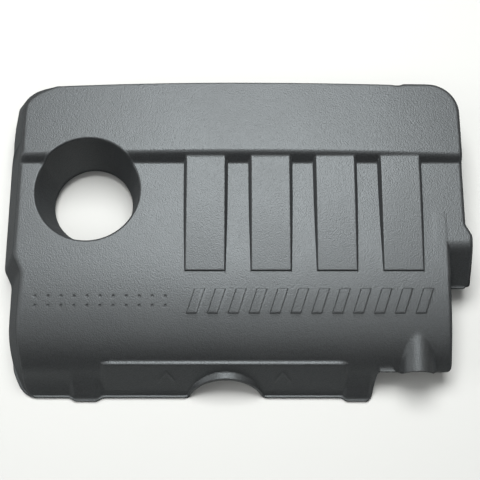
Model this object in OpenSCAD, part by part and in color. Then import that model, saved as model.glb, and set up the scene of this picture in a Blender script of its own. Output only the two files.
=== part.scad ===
// Moulded cover for the top of a four-cylinder car engine.
// X runs left to right, Y front to rear, Z up. The origin is at the middle of
// the cover's footprint, on the plane that its lowest edges stand on.

/* [Body] */
// Length of the cover, left wall to ear, at the lowest edge
cover_l = 540; // [520:1:570]
// Depth of the cover, front feet to the foot of the rear right corner
cover_d = 363; // [350:1:380]
// Height of the rear deck at its middle
deck_h = 84; // [80:1:92]
// Height of the front face at the foot of the step
face_h = 72; // [68:1:75]
// Wall of the moulding
wall = 2.6; // [2:0.1:3.5]
// Fall of the deck from its middle to its ends
deck_crown = 4; // [1:0.5:6]
// Bow of the rear edge, seen from above
rear_bow = 4; // [0:0.5:8]
// Radius of the edges between roof and walls
edge_r = 4; // [3:0.5:6]
// Lean of the left wall
left_draft = 19; // [12:0.5:22]
// Lean of the other walls
side_draft = 2; // [1:0.5:4]

/* [Step and roll] */
// Depth of the rear deck, from its rear edge to the foot of the step
deck_d = 103; // [94:0.5:112]
// Where the face begins to roll over, as a share of the way from step to skirt
roll_share = 0.4077; // [0.36:0.0001:0.45]
// Height at which the roll turns into the flared skirt
skirt_h = 27; // [22:1:32]
// Width of the flange along the foot of the skirt
flange_w = 2.5; // [1.5:0.5:4]
// Height of that flange
flange_h = 3.5; // [2.5:0.5:5]

/* [Ribs on the face] */
// How many raised ribs the face has
rib_n = 4; // [2:1:4]
// Gap between the tops of two ribs
rib_gap = 29.6; // [22:0.2:38]
// Gap between the rim of the well and the first rib
rib_well_gap = 53.1; // [46:0.1:60]
// Distance of the last rib from the right end
rib_end_gap = 58.6; // [54:0.1:66]
// Height of the ribs above the face at the step
rib_rise = 7.5; // [5:0.5:9]
// Length of the ribs past the start of the roll
rib_over = 30; // [16:0.5:42]

/* [Filler well] */
// Distance of the well's middle from the left end
well_in = 104; // [98:1:110]
// Distance of the well's middle in front of the step
well_set = 31; // [25:0.5:37]
// Radius of the well at the height of the face
well_top_r = 59.5; // [52:0.5:62]
// Radius of the hole at the foot of the well
well_hole_r = 46; // [40:0.5:50]
// Height of the foot of the well above the lowest edge
well_foot_h = 12; // [6:1:25]

/* [Dimples] */
// Dimples in a row
dimple_n = 11; // [6:1:12]
// Distance between two dimples of a row
dimple_pitch = 14.4; // [12:0.2:15]
// Distance between the two rows
dimple_row_gap = 10.4; // [8:0.2:14]
// Radius of a dimple at the surface
dimple_r = 1.8; // [1.2:0.1:2.5]
// Depth of a dimple
dimple_depth = 0.9; // [0.5:0.1:1.5]

/* [Raised bars] */
// How many slanted bars stand on the face
bar_n = 12; // [6:1:12]
// Width of a bar
bar_w = 11; // [8:1:14]
// Length of the bars, along Y
bar_l = 27; // [20:1:30]
// Height of the bars above the face
bar_rise = 0.9; // [0.5:0.1:1.5]

/* [Apron] */
// Distance of the apron panel from the left end
panel_left_in = 118; // [112:1:124]
// Distance of the apron panel from the right end
panel_right_in = 137; // [132:1:144]
// Height of the panel's upper edge
panel_h = 41.5; // [38:0.5:43]
// Width of the bevel round the panel
bevel_w = 8; // [5:0.5:10]
// Radius of the arch in the apron
arch_r = 44; // [40:1:48]
// Height of the arch's crown
arch_h = 30; // [24:1:32]
// Middle of the arch, along X
arch_x = -8.5; // [-20:0.5:5]
// How far the two front feet stand out from the flange
foot_out = 4; // [2:0.5:6]
// Width of a foot
foot_w = 24; // [18:1:30]

/* [Lower edges] */
// Height of the cut-away edge at the front right
short_h = 33; // [26:1:36]
// Distance of the long skirt from the right end
skirt_end_in = 115; // [110:1:120]
// Height of the lower edge along the rear
rear_edge_h = 35; // [20:1:44]
// Height of the lower edge at the ear
ear_edge_h = 28; // [20:1:34]

/* [Ear and hood] */
// Width of the strip that steps down at the ear
ear_w = 27; // [22:1:32]
// Depth of the ear's sloping front, along Y
ear_d = 47; // [40:1:54]
// How far the ear stands out from the right wall
ear_out = 7; // [4:0.5:10]
// Radius of the pipe hood at the front right
hood_r = 20; // [16:0.5:22]
// Distance of the hood's middle from the right end
hood_in = 64; // [60:1:70]

/* [Mounting towers] */
// Distance of the rear left tower from the left end
tower_rear_left_in = 58; // [54:1:66]
// Distance of the rear right tower from the right end
tower_rear_right_in = 52; // [48:1:64]
// Distance of the rear towers from the rear edge
tower_rear_in = 45; // [41.5:0.5:49.5]
// Distance of the front left tower from the left end
tower_front_left_in = 70; // [64:1:80]
// Distance of the front right tower from the right end
tower_front_right_in = 148; // [130:1:160]
// Distance of the front towers from the front edge
tower_front_in = 82; // [78:0.5:92]
// Height of the rear left grommet plate above the lowest edge
plate_z = 26; // [25:0.5:28]
// How much lower each next plate lies: rear right, front left, front right
plate_fall = 2; // [1.6:0.1:2.4]
// Thickness of a grommet plate
plate_t = 3.2; // [2.6:0.2:4]
// Diameter of the grommet's neck
neck_d = 15.6; // [14:0.2:17]
// Diameter of the grommet's flanges
grommet_d = 22; // [20:0.5:25]
// Thickness of a grommet flange
grommet_flange_t = 3.2; // [2.5:0.1:4]
// Diameter of the ball stud's socket
socket_d = 10; // [9:0.2:11]
// Depth of the socket
socket_l = 13; // [10:0.5:14]
// Gap between a grommet and its seat, all round
grommet_gap = 0.2; // [0.1:0.05:0.4]

/* [Inside webs] */
// Thickness of the stiffening webs under the roof
web_t = 2; // [1.6:0.1:3]
// Depth of the webs
web_h = 9; // [5:0.5:12]
// Distance between two webs
web_pitch = 60; // [50:1:80]

/* [Hidden] */
$fn = 64;

half_l = cover_l / 2;
half_d = cover_d / 2;
left_x = -half_l;
ear_x = half_l + ear_edge_h * tan(side_draft);
right_x = ear_x - ear_out;
inner_right_x = ear_x - ear_w;
front_y = -half_d + foot_out;
rear_pad = 2.5;
rear_pad_in = 75;
rear_pad_x = half_l - rear_pad_in;
rear_y = half_d - rear_pad + rear_bow * pow(rear_pad_x / half_l, 2);
step_h = deck_h - face_h;
step_y = half_d - deck_d;
skirt_run = 23;
skirt_y = front_y + skirt_run;
roll_y = mix(step_y, skirt_y, roll_share);
well_x = left_x + well_in;
well_y = step_y - well_set;
sky = deck_h + 20;
far = cover_l;

function mix(a, b, t) = a + (b - a) * t;
function bezier(p, n) = [for (i = [0 : n])
    let (t = i / n, s = 1 - t)
    s * s * s * p[0] + 3 * s * s * t * p[1] + 3 * s * t * t * p[2] + t * t * t * p[3]];
function arc(c, r, a0, a1, n) = [for (i = [0 : n])
    let (a = mix(a0, a1, i / n)) c + r * [cos(a), sin(a)]];
function rest(list) = [for (i = [1 : len(list) - 1]) list[i]];
function reversed(list) = [for (i = [len(list) - 1 : -1 : 0]) list[i]];

// Side view of the front: the face, the roll and the flared skirt
roll_ease = 0.471;
skirt_foot = [front_y + flange_w, flange_h];
roll = bezier([[roll_y, face_h - 1.5], [mix(roll_y, skirt_y, roll_ease), face_h - 2.5],
               [skirt_y + 21, skirt_h + 33], [skirt_y, skirt_h]], 12);
flare = bezier([[skirt_y, skirt_h], [skirt_y - 5, skirt_h - 8],
                [skirt_y - 12, skirt_h - 17], skirt_foot], 5);
front_line = concat([[step_y, face_h]], roll, rest(flare));
front_table = reversed(front_line);

// Side view of the ear: its sloping front under a rounded brow
ear_in = 123;
ear_front_y = front_y + ear_in;
ear_l = 49;
ear_root_y = ear_front_y + ear_l;
brow_r = 10;
brow_slope = 47;
ear_lip_h = 3;
ear_step = 0.4;
ear_foot = [ear_front_y, ear_edge_h + ear_lip_h];
brow_end = ear_foot + (ear_d - brow_r * sin(brow_slope)) * [1, tan(brow_slope)];
brow = arc(brow_end + brow_r * [sin(brow_slope), -cos(brow_slope)], brow_r,
           90 + brow_slope, 90, 5);
ear_line = concat([ear_foot], brow);

// Height of the outer skin over a point of the plan
function deck_z(x) = deck_h - deck_crown * pow(x / half_l, 2);
function roof_z(p) =
    p.x > inner_right_x + 1 && p.y < ear_root_y + 1 ? lookup(p.y, ear_line)
    : p.y <= step_y ? lookup(p.y, front_table)
    : min(face_h + p.y - step_y, deck_z(p.x));

// Outline of the walls, counter-clockwise from the front left corner, at
// height z and set in by e from the outer skin
jog = 9.5;
jog_l = 24;
sweep_in = 20;
sweep_y = front_y + 86;
jog_y = sweep_y + 66;
corner_rise = 12;
corner_y = front_y + corner_rise;
front_corner_r = 14;
ear_root_l = 13;
step_run = step_h - deck_crown;
rear_corner_r = 36;
chamfer = 21;
function rear_line(b, x) = b - rear_bow * pow(x / half_l, 2);
function outline(z, e) =
    let (l = left_x + z * tan(left_draft) + e,
         r = right_x - z * tan(side_draft) - e,
         r2 = inner_right_x - z * tan(side_draft) - e,
         b = rear_y - z * tan(side_draft) - e,
         f = front_y + e,
         l2 = l + jog + sweep_in,
         bl = rear_line(b, left_x),
         br = rear_line(b, rear_pad_x) + rear_pad,
         rc = rear_corner_r - e,
         fc = front_corner_r - e)
    concat(
        [[l2 + front_corner_r, f], [r2 - front_corner_r - 4, f]],
        arc([r2 - fc, corner_y + 20], fc, -70, 0, 4),
        [[r2, ear_front_y + e], [r + ear_out, ear_front_y + e],
         [r + ear_out, ear_root_y], [r, ear_root_y + ear_root_l],
         [r, step_y], [r, step_y + step_run]],
        arc([r - rc, br - rc], rc, 0, 90, 8),
        [[rear_pad_x + 2, br]],
        [for (x = [rear_pad_x, 130, 65, 0, -75, -150]) [x, rear_line(b, x)]],
        [[l + chamfer + 1, bl], [l + 14, bl - 5], [l + 2, bl - chamfer],
         [l, step_y + step_run], [l, step_y], [l, jog_y],
         [l + 1, jog_y - 4], [l + jog - 1, jog_y - jog_l + 5], [l + jog, jog_y - jog_l]],
        [for (i = [0 : 5]) let (t = i / 5)
            [l + jog + sweep_in * t * t, mix(sweep_y, corner_y, t)]],
        [[l2 + 5, corner_y - corner_rise / 2]]);

// Depth that the solids reach below the lowest edge before they are cut level
below = -5;

// Solid between rings of points, each ring a closed loop of the same length
module skin(rings) {
    n = len(rings[0]);
    m = len(rings);
    polyhedron(
        points = [for (ring = rings) each ring],
        faces = concat(
            [[for (i = [0 : n - 1]) i]],
            [for (k = [0 : m - 2], i = [0 : n - 1])
                let (j = (i + 1) % n) each [
                    [k * n + i, (k + 1) * n + j, k * n + j],
                    [k * n + i, (k + 1) * n + i, (k + 1) * n + j]]],
            [[for (i = [0 : n - 1]) m * n - 1 - i]]));
}

// Walls round the plan, with a rounded edge of radius r that follows the roof
module walls(e, r) {
    low = e > 0 ? 2 * below : below;
    base = outline(0, e);
    lean = outline(100, e) - base;
    inset = outline(0, e + 1) - base;
    tops = [for (i = [0 : len(base) - 1]) max(roof_z(base[i] + lean[i] * face_h / 100), r + 3)];
    function ring(drop, in) = [for (i = [0 : len(base) - 1])
        let (z = tops[i] - drop, p = base[i] + lean[i] * z / 100 + inset[i] * in) [p.x, p.y, z]];
    foot = [for (i = [0 : len(base) - 1])
        let (p = base[i] + lean[i] * low / 100) [p.x, p.y, low]];
    skin(concat([foot],
        [for (a = [0 : 30 : 60]) ring(r * (1 - sin(a)), r * (1 - cos(a)))],
        [ring(-0.3, r)],
        [[for (p = ring(-0.3, r)) [p.x, p.y, sky]]]));
}

// Extrude a side view, given as Y and Z, from x0 to x1
module along_x(x0, x1) {
    translate([x0, 0, 0]) rotate([90, 0, 90]) linear_extrude(x1 - x0) children();
}
// Extrude a front view, given as X and Z, from y0 to y1
module along_y(y0, y1) {
    translate([0, y1, 0]) rotate([90, 0, 0]) linear_extrude(y1 - y0) children();
}

module side_view() {
    polygon(concat([[far, -sky], [far, deck_h], [step_y + step_h, deck_h]],
                   front_line,
                   [[front_y - 20, flange_h - 3], [front_y - 20, -sky]]));
}
module crown_view() {
    polygon(concat([[half_l + 20, -sky]],
                   [for (i = [10 : -1 : -10]) let (x = i * (half_l + 20) / 10) [x, deck_z(x)]],
                   [[-half_l - 20, -sky]]));
}
module ear_view() {
    polygon(concat([ear_foot - [40, 0]], ear_line,
                   [[ear_root_y + 60, brow[5].y], [ear_root_y + 60, sky], [ear_foot.x - 40, sky]]));
}

// The whole outer form for e = 0, or the hollow under it for e = wall
module form(e, r) {
    difference() {
        intersection() {
            walls(e, r);
            along_x(-far, far) offset(delta = -e) side_view();
            along_y(-far, far) offset(delta = -e) crown_view();
        }
        translate([inner_right_x + ear_step, 0, 0]) rotate([0, -side_draft, 0])
            along_x(-e, far) offset(delta = e) ear_view();
    }
}
module outer() { form(0, edge_r); }
module hollow() { form(wall, edge_r / 2); }

// Ribs: a drafted section swept on a long arc, so the tops fall to the front
rib_sweep_r = 1300;
rib_slope = 0.5;
rib_lean = 22;
rib_sink = 12;
rib_tail = 8;
rib_left_x = well_x + well_top_r + rib_well_gap;
rib_right_x = half_l - rib_end_gap;
rib_w = (rib_right_x - rib_left_x - (rib_n - 1) * rib_gap) / rib_n;
rib_front_y = roll_y - rib_over;
module rib(e) {
    w = rib_w / 2 - e;
    top = rib_sweep_r - e;
    foot_w = w + rib_sink * tan(rib_lean);
    span = (step_y + rib_tail - rib_front_y - 2 * e) / rib_sweep_r * 180 / PI;
    translate([0, step_y + rib_tail - e + rib_sweep_r * sin(rib_slope),
               face_h + rib_rise - rib_sweep_r * cos(rib_slope)]) rotate([rib_slope, 0, 0])
        rotate([0, -90, 0]) rotate([0, 0, -span]) rotate_extrude(angle = span, $fn = 180)
            polygon([[top, 1 - w], [top, w - 1], [top - 1, w], [top - rib_sink, foot_w],
                     [top - rib_sink, -foot_w], [top - 1, -w]]);
}
module ribs(e) {
    for (i = [0 : rib_n - 1])
        translate([rib_left_x + rib_w / 2 + i * (rib_w + rib_gap), 0, 0]) rib(e);
}

// Slanted bars in low relief on the face, in front of the ribs
bar_slant = 9;
bar_share = 0.4352;
bar_front_y = mix(rib_front_y, skirt_y, bar_share);
bar_left_x = rib_left_x + 1.9 + (bar_w + bar_slant) / 2;
bar_right_x = half_l - 48.5 - (bar_w + bar_slant) / 2;
module bar_plan() {
    for (i = [0 : bar_n - 1])
        translate([mix(bar_left_x, bar_right_x, i / (bar_n - 1)), bar_front_y])
            polygon([[-(bar_w + bar_slant) / 2, 0], [(bar_w - bar_slant) / 2, 0],
                     [(bar_w + bar_slant) / 2, bar_l], [-(bar_w - bar_slant) / 2, bar_l]]);
}
module bars() {
    intersection() {
        linear_extrude(sky) bar_plan();
        along_x(-half_l, half_l) difference() {
            offset(delta = bar_rise) side_view();
            offset(delta = -wall / 2) side_view();
        }
    }
}

// Two rows of small dimples at the left of the face
dimple_in = 123;
dimple_share = 0.4779;
dimple_x = left_x + dimple_in;
dimple_y = mix(well_y - well_top_r, skirt_y, dimple_share);
module dimples() {
    ball_r = (dimple_r * dimple_r + dimple_depth * dimple_depth) / (2 * dimple_depth);
    for (i = [0 : dimple_n - 1], side = [-1, 1]) {
        y = dimple_y + side * dimple_row_gap / 2;
        translate([dimple_x + (i - (dimple_n - 1) / 2) * dimple_pitch, y,
                   lookup(y, front_table) + ball_r - dimple_depth])
            sphere(r = ball_r, $fn = 24);
    }
}

// Filler well: a funnel through the cover
well_lean = (well_top_r - well_hole_r) / (face_h - well_foot_h);
module well_cone(e, low, high) {
    r0 = well_hole_r + e + (low - well_foot_h) * well_lean;
    r1 = well_hole_r + e + (high - well_foot_h) * well_lean;
    translate([well_x, well_y, low]) cylinder(r1 = r0, r2 = r1, h = high - low, $fn = 96);
}

// Apron panel: a bevelled plate that stands proud of the skirt
panel_left_x = left_x + panel_left_in;
panel_right_x = half_l - panel_right_in;
panel_foot_y = front_y + 1.5;
panel_top_y = panel_foot_y + 29.5;
panel_corner_r = 9;
panel_depth = 9;
panel_rise = 3.4;
panel_top_slope = 0.03;
module panel(e) {
    low = e > 0 ? 2 * below : below;
    c = panel_corner_r;
    function ring(grow, back) =
        let (x0 = panel_left_x + bevel_w - grow + e,
             x1 = panel_right_x - bevel_w + grow - e,
             z1 = panel_h + grow * panel_top_slope - e,
             front = concat([[x0, low], [x1, low]],
                            arc([x1 - c, z1 - c], c, 0, 90, 4),
                            arc([x0 + c, z1 - c], c, 90, 180, 4)))
        [for (q = front) [q.x, mix(panel_foot_y, panel_top_y, q.y / panel_h) + e + back, q.y]];
    skin([ring(bevel_w * panel_depth / panel_rise, panel_depth), ring(0, 0)]);
}

// Arch in the apron under a short half-round hood
arch_z = arch_h - arch_r;
arch_lean = 26;
arch_set_back = 0.5;
module arch_tube(r, y0, y1) {
    translate([arch_x, y1, arch_z]) rotate([90, 0, 0]) cylinder(r = r, h = y1 - y0, $fn = 96);
}
module arch_hood() {
    top = arch_h + wall + 2;
    foot_y = front_y + arch_set_back;
    back_y = front_y + 60;
    intersection() {
        arch_tube(arch_r + wall, front_y - 4, front_y + 42);
        along_x(-half_l, half_l)
            polygon([[foot_y + below * tan(arch_lean), below], [back_y, below], [back_y, top],
                     [foot_y + top * tan(arch_lean), top]]);
    }
}

// Hood over a pipe at the front right, open to the front
hood_x = half_l - hood_in;
hood_top_z = 50;
hood_front_y = skirt_y;
hood_lean = 9;
hood_l = 60;
module pipe_hood(e) {
    out = e > 0 ? 15 : 0;
    translate([hood_x, hood_front_y, hood_top_z - hood_r]) rotate([hood_lean - 90, 0, 0])
        translate([0, 0, -out]) cylinder(r = hood_r - e, h = hood_l + out);
}

// Feet, where the flange and the skirt above it stand out
foot_left_x = panel_left_x - 15;
foot_right_x = panel_right_x + 7;
foot_slope = 7;
foot_fade_h = 22;
module foot(x) {
    function ring(z, y, w) = [[x - w / 2, y, z], [x + w / 2, y, z],
                              [x + w / 2 + foot_slope, y + foot_out + 4, z],
                              [x - w / 2 - foot_slope, y + foot_out + 4, z]];
    skin([ring(below, front_y - foot_out, foot_w), ring(flange_h, front_y - foot_out, foot_w)]);
    skin([ring(below, front_y - foot_out + flange_w, foot_w - 2),
          ring(flange_h, front_y - foot_out + flange_w, foot_w - 2),
          ring(foot_fade_h, front_y + 20, foot_w - 6)]);
}

// The flange goes on round the front left corner
corner_flange_x = [left_x + 24, left_x + 70];
corner_flange_y = front_y + 37.5;
module corner_flange() {
    translate([0, 0, below]) linear_extrude(flange_h - below) intersection() {
        difference() {
            offset(delta = flange_w) polygon(outline(0, 0));
            offset(delta = -1) polygon(outline(0, 0));
        }
        translate([corner_flange_x[0], front_y + 1])
            square([corner_flange_x[1] - corner_flange_x[0], corner_flange_y - front_y - 1]);
    }
}

// Short lips at the ear and at the cut-away front
lip_w = 2.5;
lip_h = 3;
ear_lip_x = [inner_right_x + 2, half_l - 5];
short_lip_x = [hood_x - 42, hood_x - 26];
short_lip_y = skirt_y + 1;
module lips() {
    translate([ear_lip_x[0], ear_front_y - lip_w, ear_edge_h - 2])
        cube([ear_lip_x[1] - ear_lip_x[0], lip_w + 4, lip_h + 2]);
    translate([short_lip_x[0], short_lip_y, short_h - 2])
        cube([short_lip_x[1] - short_lip_x[0], lip_w + 4, lip_h + 2]);
}

// What is cut away under the lower edges
cut_floor = -9;
rear_band = 25;
rear_band_y = half_d - rear_band;
side_band = 24;
right_band = 56.5;
skirt_end_x = half_l - skirt_end_in;
module rear_cut() {
    along_y(rear_band_y, far)
        polygon([[-far, cut_floor], [rear_pad_x, cut_floor],
                 [rear_pad_x - 12, rear_edge_h], [-far, rear_edge_h]]);
}
module left_cut() {
    along_x(-far, left_x + side_band)
        polygon([[step_y + 18, cut_floor], [rear_band_y + 5, cut_floor],
                 [rear_band_y + 5, rear_edge_h - 0.3], [step_y + 32, rear_edge_h - 0.3]]);
}
module front_cut() {
    along_y(-far, front_y + 42)
        polygon([[skirt_end_x, cut_floor], [far, cut_floor], [far, short_h],
                 [skirt_end_x + 7, short_h]]);
}
module right_cut() {
    along_x(inner_right_x - 10, far)
        polygon([[front_y + 30, cut_floor - 1], [step_y + 16, cut_floor - 1],
                 [step_y + 4, ear_edge_h], [front_y + right_band, ear_edge_h],
                 [front_y + 45, short_h - 0.4],
                 [front_y + 30, short_h - 0.4]]);
}
module edge_cuts() {
    rear_cut();
    left_cut();
    front_cut();
    right_cut();
}

// Stiffening webs under the roof
web_foot_h = 30;
web_end_gap = 40;
module webs() {
    n_x = floor((half_l - web_end_gap) / web_pitch);
    n_y = floor((half_d - web_end_gap) / web_pitch);
    difference() {
        translate([0, 0, web_foot_h]) linear_extrude(sky) union() {
            for (i = [-n_x : n_x])
                translate([i * web_pitch - web_t / 2, -cover_d]) square([web_t, 2 * cover_d]);
            for (i = [-n_y : n_y])
                translate([-cover_l, i * web_pitch - web_t / 2]) square([2 * cover_l, web_t]);
        }
        intersection() {
            along_x(-far, far) offset(delta = -wall - web_h) side_view();
            along_y(-far, far) offset(delta = -wall - web_h) crown_view();
        }
    }
}

// Mounting towers: U-shaped columns with a keyhole plate for a grommet
tower_rear_y = half_d - tower_rear_in;
tower_front_y = -half_d + tower_front_in;
// Each tower: X, Y, how far it is turned, height of its plate
TOWERS = [[left_x + tower_rear_left_in, tower_rear_y, 0, plate_z],
          [half_l - tower_rear_right_in, tower_rear_y, 180, plate_z - plate_fall],
          [left_x + tower_front_left_in, tower_front_y, 0, plate_z - 2 * plate_fall],
          [half_l - tower_front_right_in, tower_front_y, 180, plate_z - 3 * plate_fall]];
tower_room = 1;
tower_wall = 2.4;
neck_slot = 13;
module tower_plan(r) {
    circle(r = r);
    translate([0, -r]) square([r + 2, 2 * r]);
}
module tower(at) {
    room_r = grommet_d / 2 + tower_room;
    translate([at.x, at.y, at[3]]) rotate([0, 0, at.z]) {
        linear_extrude(sky) difference() {
            tower_plan(room_r + tower_wall);
            circle(r = room_r);
            translate([0, -room_r]) square([2 * room_r, 2 * room_r]);
        }
        linear_extrude(plate_t) difference() {
            tower_plan(room_r + tower_wall);
            circle(d = neck_d + 2 * grommet_gap);
            translate([0, -neck_slot / 2]) square([2 * room_r, neck_slot]);
        }
    }
}

// Everything outside, before the hollow is taken out
module ground() {
    translate([-far, -far, -sky]) cube([2 * far, 2 * far, sky]);
}
module body() {
    difference() {
        union() {
            difference() {
                union() {
                    outer();
                    pipe_hood(0);
                    foot(foot_left_x);
                    foot(foot_right_x);
                    corner_flange();
                }
                edge_cuts();
            }
            panel(0);
            arch_hood();
        }
        ground();
    }
    ribs(0);
    bars();
    lips();
}
module cavity() {
    difference() {
        union() {
            hollow();
            ribs(wall);
            panel(wall);
            pipe_hood(wall);
        }
        webs();
        well_cone(wall, well_foot_h, sky);
        for (at = TOWERS) tower(at);
    }
}
module cover() {
    color([0.16, 0.17, 0.18]) difference() {
        body();
        cavity();
        well_cone(0, well_foot_h - 5, sky + 5);
        arch_tube(arch_r, front_y - 10, front_y + 50);
        dimples();
    }
}

// Rubber grommet, pushed into a keyhole plate, with a blind socket for a ball stud
socket_lead = 1;
crown_d = 17;
crown_t = 2.5;
module grommet(at) {
    grip = plate_t + 2 * grommet_gap;
    neck_r = neck_d / 2;
    flange_r = grommet_d / 2;
    socket_r = socket_d / 2;
    t = grommet_flange_t;
    color([0.05, 0.05, 0.05])
        translate([at.x, at.y, at[3] - grommet_gap - t]) rotate_extrude()
            polygon([[0, socket_l], [socket_r, socket_l], [socket_r, socket_lead],
                     [socket_r + socket_lead, 0], [flange_r - 1, 0], [flange_r, 1],
                     [flange_r, t], [neck_r, t], [neck_r, t + grip], [flange_r, t + grip],
                     [flange_r - 1.5, 2 * t + grip], [crown_d / 2, 2 * t + grip],
                     [crown_d / 2 - 1, socket_l + crown_t], [0, socket_l + crown_t]]);
}
module grommet_rear_left() { grommet(TOWERS[0]); }
module grommet_rear_right() { grommet(TOWERS[1]); }
module grommet_front_left() { grommet(TOWERS[2]); }
module grommet_front_right() { grommet(TOWERS[3]); }

cover();
grommet_rear_left();
grommet_rear_right();
grommet_front_left();
grommet_front_right();
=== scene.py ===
import math

import bmesh
import bpy
import numpy as np
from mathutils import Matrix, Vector
from mathutils.geometry import delaunay_2d_cdt


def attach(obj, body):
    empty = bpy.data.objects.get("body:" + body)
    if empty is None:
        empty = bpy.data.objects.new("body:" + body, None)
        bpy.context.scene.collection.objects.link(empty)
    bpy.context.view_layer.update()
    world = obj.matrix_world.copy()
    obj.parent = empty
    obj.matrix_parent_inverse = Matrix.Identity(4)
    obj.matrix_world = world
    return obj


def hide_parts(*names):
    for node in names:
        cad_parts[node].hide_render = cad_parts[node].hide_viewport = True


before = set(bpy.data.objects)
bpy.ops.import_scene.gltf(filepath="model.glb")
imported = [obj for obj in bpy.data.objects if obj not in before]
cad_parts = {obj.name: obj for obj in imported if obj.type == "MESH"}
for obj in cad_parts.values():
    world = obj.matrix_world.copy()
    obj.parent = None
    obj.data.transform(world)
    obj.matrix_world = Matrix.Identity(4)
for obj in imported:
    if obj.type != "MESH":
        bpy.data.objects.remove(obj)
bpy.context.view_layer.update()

# Sizes are in millimetres until a mesh is made, and most are those of the part's source.
MM = 0.001
MERGE = 0.00002
OUTER, INNER = 0, 1
NOWHERE = -60

# body; the walls lean by SIDE or LEFT for each millimetre of height
HALF_L = 270.0
HALF_D = 181.5
DECK_H = 84.0
FACE_H = 72.0
CROWN = 4.0
WALL = 2.6
SIDE = math.tan(math.radians(2))
LEFT = math.tan(math.radians(19))
EDGE_R = (4.0, 1.4)

# step between face and deck; STEP_WALL is how far down its inner skin lies, for a wall of 1
STEP_Y = 78.5
STEP_FOOT = 2
STEP_SLOPE = 1.2
STEP_WALL = 1.56

# ear on the right
EAR_LOW = 28.0
EAR_OUT = 7
EAR_X = HALF_L + EAR_LOW * SIDE
RIGHT_X = EAR_X - EAR_OUT
INNER_X = EAR_X - 27
EAR_Y = -54.5
EAR_EDGE_X = INNER_X + 0.4
EAR_FOOT_Z = 31
EAR_SLOPE = math.tan(math.radians(47))

# rear edge, which falls back toward both ends, and its right corner
BOW_LEFT, BOW_RIGHT = 6.4, 4
CORNER_X = 195
CORNER_OUT = 2.5
CORNER_R = 36
REAR_Y = HALF_D - CORNER_OUT + BOW_RIGHT * (CORNER_X / HALF_L) ** 2
REAR_ROUND = 1.7
REAR_LOW = 35.0
REAR_XS = (183, 160, 130, 95, 65, 30, 0, -35, -75, -110, -150, -190, -205)
# rear left corner, at z 35 and at z 80, from where the two walls would meet
CORNER = (((16, 0), (24, 0)), ((8, -0.8), (15, -3.5)), ((2.5, -3.5), (7, -9)), ((0.3, -8), (2, -16)),
          ((-1, -20), (0, -24)), ((-2.3, -33), (0, -33)), ((-3, -52), (0, -52)), ((-2.7, -62), (0, -62)),
          ((-2.6, -65), (0, -65)))
CORNER_ZS = (35, 80)
# lower edge halfway up from the corners' 0 to REAR_LOW
STEP_UP_LOW = 17.0

# front: the roll down to the skirt, its flare, the flange at the left, and two feet (x, half width, ramp)
FRONT_Y = -177.5
SKIRT_Y = FRONT_Y + 23
FLANGE_W = 2.5
FLANGE_H = 3.5
ROLL = ((-16.5, 70.5), (-81.5, 69.5), (SKIRT_Y + 21, 60), (SKIRT_Y, 27))
FLARE = ((SKIRT_Y, 27), (SKIRT_Y - 5, 19), (SKIRT_Y - 12, 10), (FRONT_Y + FLANGE_W, FLANGE_H))
FEET = ((-167.0, 12.0, 7.0), (140.0, 12.0, 5.0))
FOOT_OUT = 4

# apron panel
PANEL_X0, PANEL_X1 = -144, 125
PANEL_MID, PANEL_HALF = (PANEL_X0 + PANEL_X1) / 2, (PANEL_X1 - PANEL_X0) / 2
PANEL_FOOT = 1.5
PANEL_TOP_Y = -146.5
PANEL_H = 41.5
PANEL_RUN = 29.5
PANEL_CORNER = 9

# filler well and the arch in the apron
WELL = (-166.0, 47.5)
WELL_FOOT_R = 46.0
WELL_FOOT_H = 12.0
WELL_LEAN = 13.5 / 60
WELL_ROUND = 2.2
WELL_FOOT_ROUND = 0.8
WELL_ANGLES = np.linspace(0, 2 * math.pi, 120, endpoint=False)
ARCH_X = -8.5
ARCH_R = 44.0
ARCH_Z = -14.0
ARCH_LEAN = math.tan(math.radians(26))

# pipe hood, cut-away edge and lip at the front right
HOOD_X, HOOD_Y, HOOD_Z = 205.0, -154.5, 32.0
HOOD_R = 20.5
HOOD_RISE = 0.1
HOOD_COS = 0.988
MOUTH_R, MOUTH_BORE = 20, 17.4
SHORT_H = 29.0
LIP_LOW, LIP_TOP = 31.5, 34.4

# broad ribs on the face, with a top that is a long arc
RIB_XS = [79 + (i - 1.5) * 73.6 for i in range(4)]
RIB_HALF = 22.0
RIB_H = 7.5
RIB_FRONT_Y = -46.5
RIB_BACK_Y = STEP_Y + 8
RIB_END_Y = STEP_Y + 8.9
RIB_LEAN = math.tan(math.radians(22))
RIB_FRONT_LEAN = 0.3
RIB_ARC_R = 1300.0
RIB_TILT = math.radians(0.5)

# low relief: slanted bars, a double row of dimples, and marks on the panel (apex x, y, half width, fall)
RELIEF = 0.9
BAR_XS = [85 + (i - 5.5) * 23 for i in range(12)]
BAR_Y = -80
BAR_HALF_W, BAR_HALF_L = 5.5, 13.5
BAR_SHIFT, BAR_RISE = 9, 27
DIMPLE_X, DIMPLE_Y = -147, -80.1
DIMPLE_R = 1.8
DIMPLES = [((i - 5) * 14.4, row) for i in range(11) for row in (-5.2, 5.2)]
CHEVRONS = ((-74.6, -153.5, 9.6, 8.5), (55.3, -153.5, 9.0, 8.5))

# webs and towers, which run into the roof by SINK; a tower is x, y, turn and height of its plate
SINK = 0.6
WEB_PITCH = 60
WEB_DEEP = 9
WEB_LOW = 30
TOWERS = ((-212, 136.5, 0, 26.0), (218, 136.5, 180, 24.0), (-200, -99.5, 0, 22.0), (122, -99.5, 180, 20.0))
TOWER_R, TOWER_BORE, TOWER_REACH = 14.4, 12.0, 16.4
PLATE_T = 3.2
KEY_R, KEY_MOUTH = 8.0, 6.5


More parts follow.
